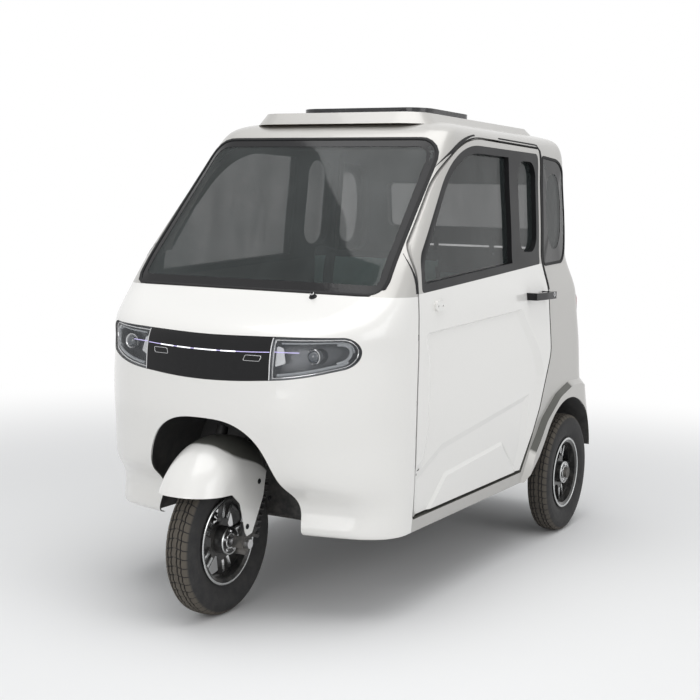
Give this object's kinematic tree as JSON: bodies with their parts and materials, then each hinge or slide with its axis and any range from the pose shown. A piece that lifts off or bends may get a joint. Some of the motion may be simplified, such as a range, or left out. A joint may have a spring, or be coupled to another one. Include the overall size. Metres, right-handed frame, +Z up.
{
  "type": "three wheeled cabin car",
  "caption": "Closed electric three wheeler with a driver's seat, rear bench, steered front wheel, hinged doors, tilting roof hatch and boot lid.",
  "frame": {"origin": "on the ground under the middle of the vehicle's length and width", "axes": "+Z up, +Y towards the tail, +X towards the vehicle's own left side"},
  "size_m": [1.098, 2.1897, 1.58],
  "materials": {
    "white_paint": "gloss warm white",
    "grey_paint": "light warm grey metallic",
    "black_frame": "satin black",
    "black_panel": "gloss black",
    "lamp_housing": "bright reflector inside",
    "clear_lens": "clear",
    "red_lens": "gloss red",
    "window_glass": "clear safety glass",
    "dark_glass": "dark tinted glass",
    "inner_plastic": "textured black",
    "beige_plastic": "textured",
    "steel_black": "black painted steel",
    "steel_bright": "plated",
    "axle_iron": "black",
    "alloy": "black with machined edges",
    "tyre_rubber": "worn matt",
    "seat_leather": "mint with dark grey panels",
    "battery": "black case"
  },
  "bodies": {
    "cab": {"nose_panel": "white_paint", "front_garnish": "black_panel", "headlamp_lenses": "clear_lens", "headlamp_housings": "lamp_housing", "windscreen": "window_glass", "cab_frame": "grey_paint", "roof_panel": "grey_paint", "rear_body": "grey_paint", "quarter_windows": "window_glass", "rear_window": "window_glass", "door_hinges": "steel_black", "lid_hinges": "steel_black", "tail_lamps": "red_lens", "front_arch_liner": "inner_plastic", "dash_panel": "beige_plastic", "floor_pan": "inner_plastic", "rear_arch_liners": "inner_plastic", "chassis": "steel_black", "rear_axle": "axle_iron", "leaf_springs": "steel_black", "battery_box": "battery", "driver_seat_cushion": "seat_leather", "driver_seat_backrest": "seat_leather", "rear_bench_cushion": "seat_leather", "rear_bench_backrest": "seat_leather"},
    "steering": {"fork": "steel_black", "front_axle": "steel_bright", "handlebar": "steel_black", "front_fender": "white_paint"},
    "front_wheel": {"front_tyre": "tyre_rubber", "front_rim": "alloy"},
    "rear_wheel_left": {"rear_left_tyre": "tyre_rubber", "rear_left_rim": "alloy"},
    "door_left": {"door_left_panel": "white_paint", "door_left_frame": "grey_paint", "door_left_window_frame": "black_frame", "door_left_glass": "window_glass", "door_left_handle": "black_panel"},
    "rear_wheel_right": {"rear_right_tyre": "tyre_rubber", "rear_right_rim": "alloy"},
    "door_right": {"door_right_panel": "white_paint", "door_right_frame": "grey_paint", "door_right_window_frame": "black_frame", "door_right_glass": "window_glass", "door_right_handle": "black_panel"},
    "hatch": {"roof_hatch": "dark_glass"},
    "boot": {"boot_lid": "grey_paint"}
  },
  "joints": [
    {"name": "steering", "type": "hinge", "parent": "cab", "child": "steering", "pos_m": [0, -0.81446, 0.21124], "axis": [0, 0.342, 0.9397], "range_deg": [-35, 35]},
    {"name": "front_wheel_spin", "type": "hinge", "parent": "steering", "child": "front_wheel", "pos_m": [0, -0.8605, 0.228], "axis": [1, 0, 0], "continuous": true},
    {"name": "rear_left_wheel_spin", "type": "hinge", "parent": "cab", "child": "rear_wheel_left", "pos_m": [0.49, 0.7395, 0.228], "axis": [1, 0, 0], "continuous": true},
    {"name": "rear_right_wheel_spin", "type": "hinge", "parent": "cab", "child": "rear_wheel_right", "pos_m": [-0.49, 0.7395, 0.228], "axis": [1, 0, 0], "continuous": true},
    {"name": "door_left_hinge", "type": "hinge", "parent": "cab", "child": "door_left", "pos_m": [0.509, -0.562, 0.6], "axis": [0, 0, -1], "range_deg": [0, 65]},
    {"name": "door_right_hinge", "type": "hinge", "parent": "cab", "child": "door_right", "pos_m": [-0.509, -0.562, 0.6], "axis": [0, 0, 1], "range_deg": [0, 65]},
    {"name": "roof_hatch_tilt", "type": "hinge", "parent": "cab", "child": "hatch", "pos_m": [0, -0.0343, 1.568], "axis": [1, 0, 0], "range_deg": [0, 12]},
    {"name": "boot_lid_hinge", "type": "hinge", "parent": "cab", "child": "boot", "pos_m": [0, 0.9109, 1.07289], "axis": [1, 0, 0], "range_deg": [0, 80]}
  ]
}
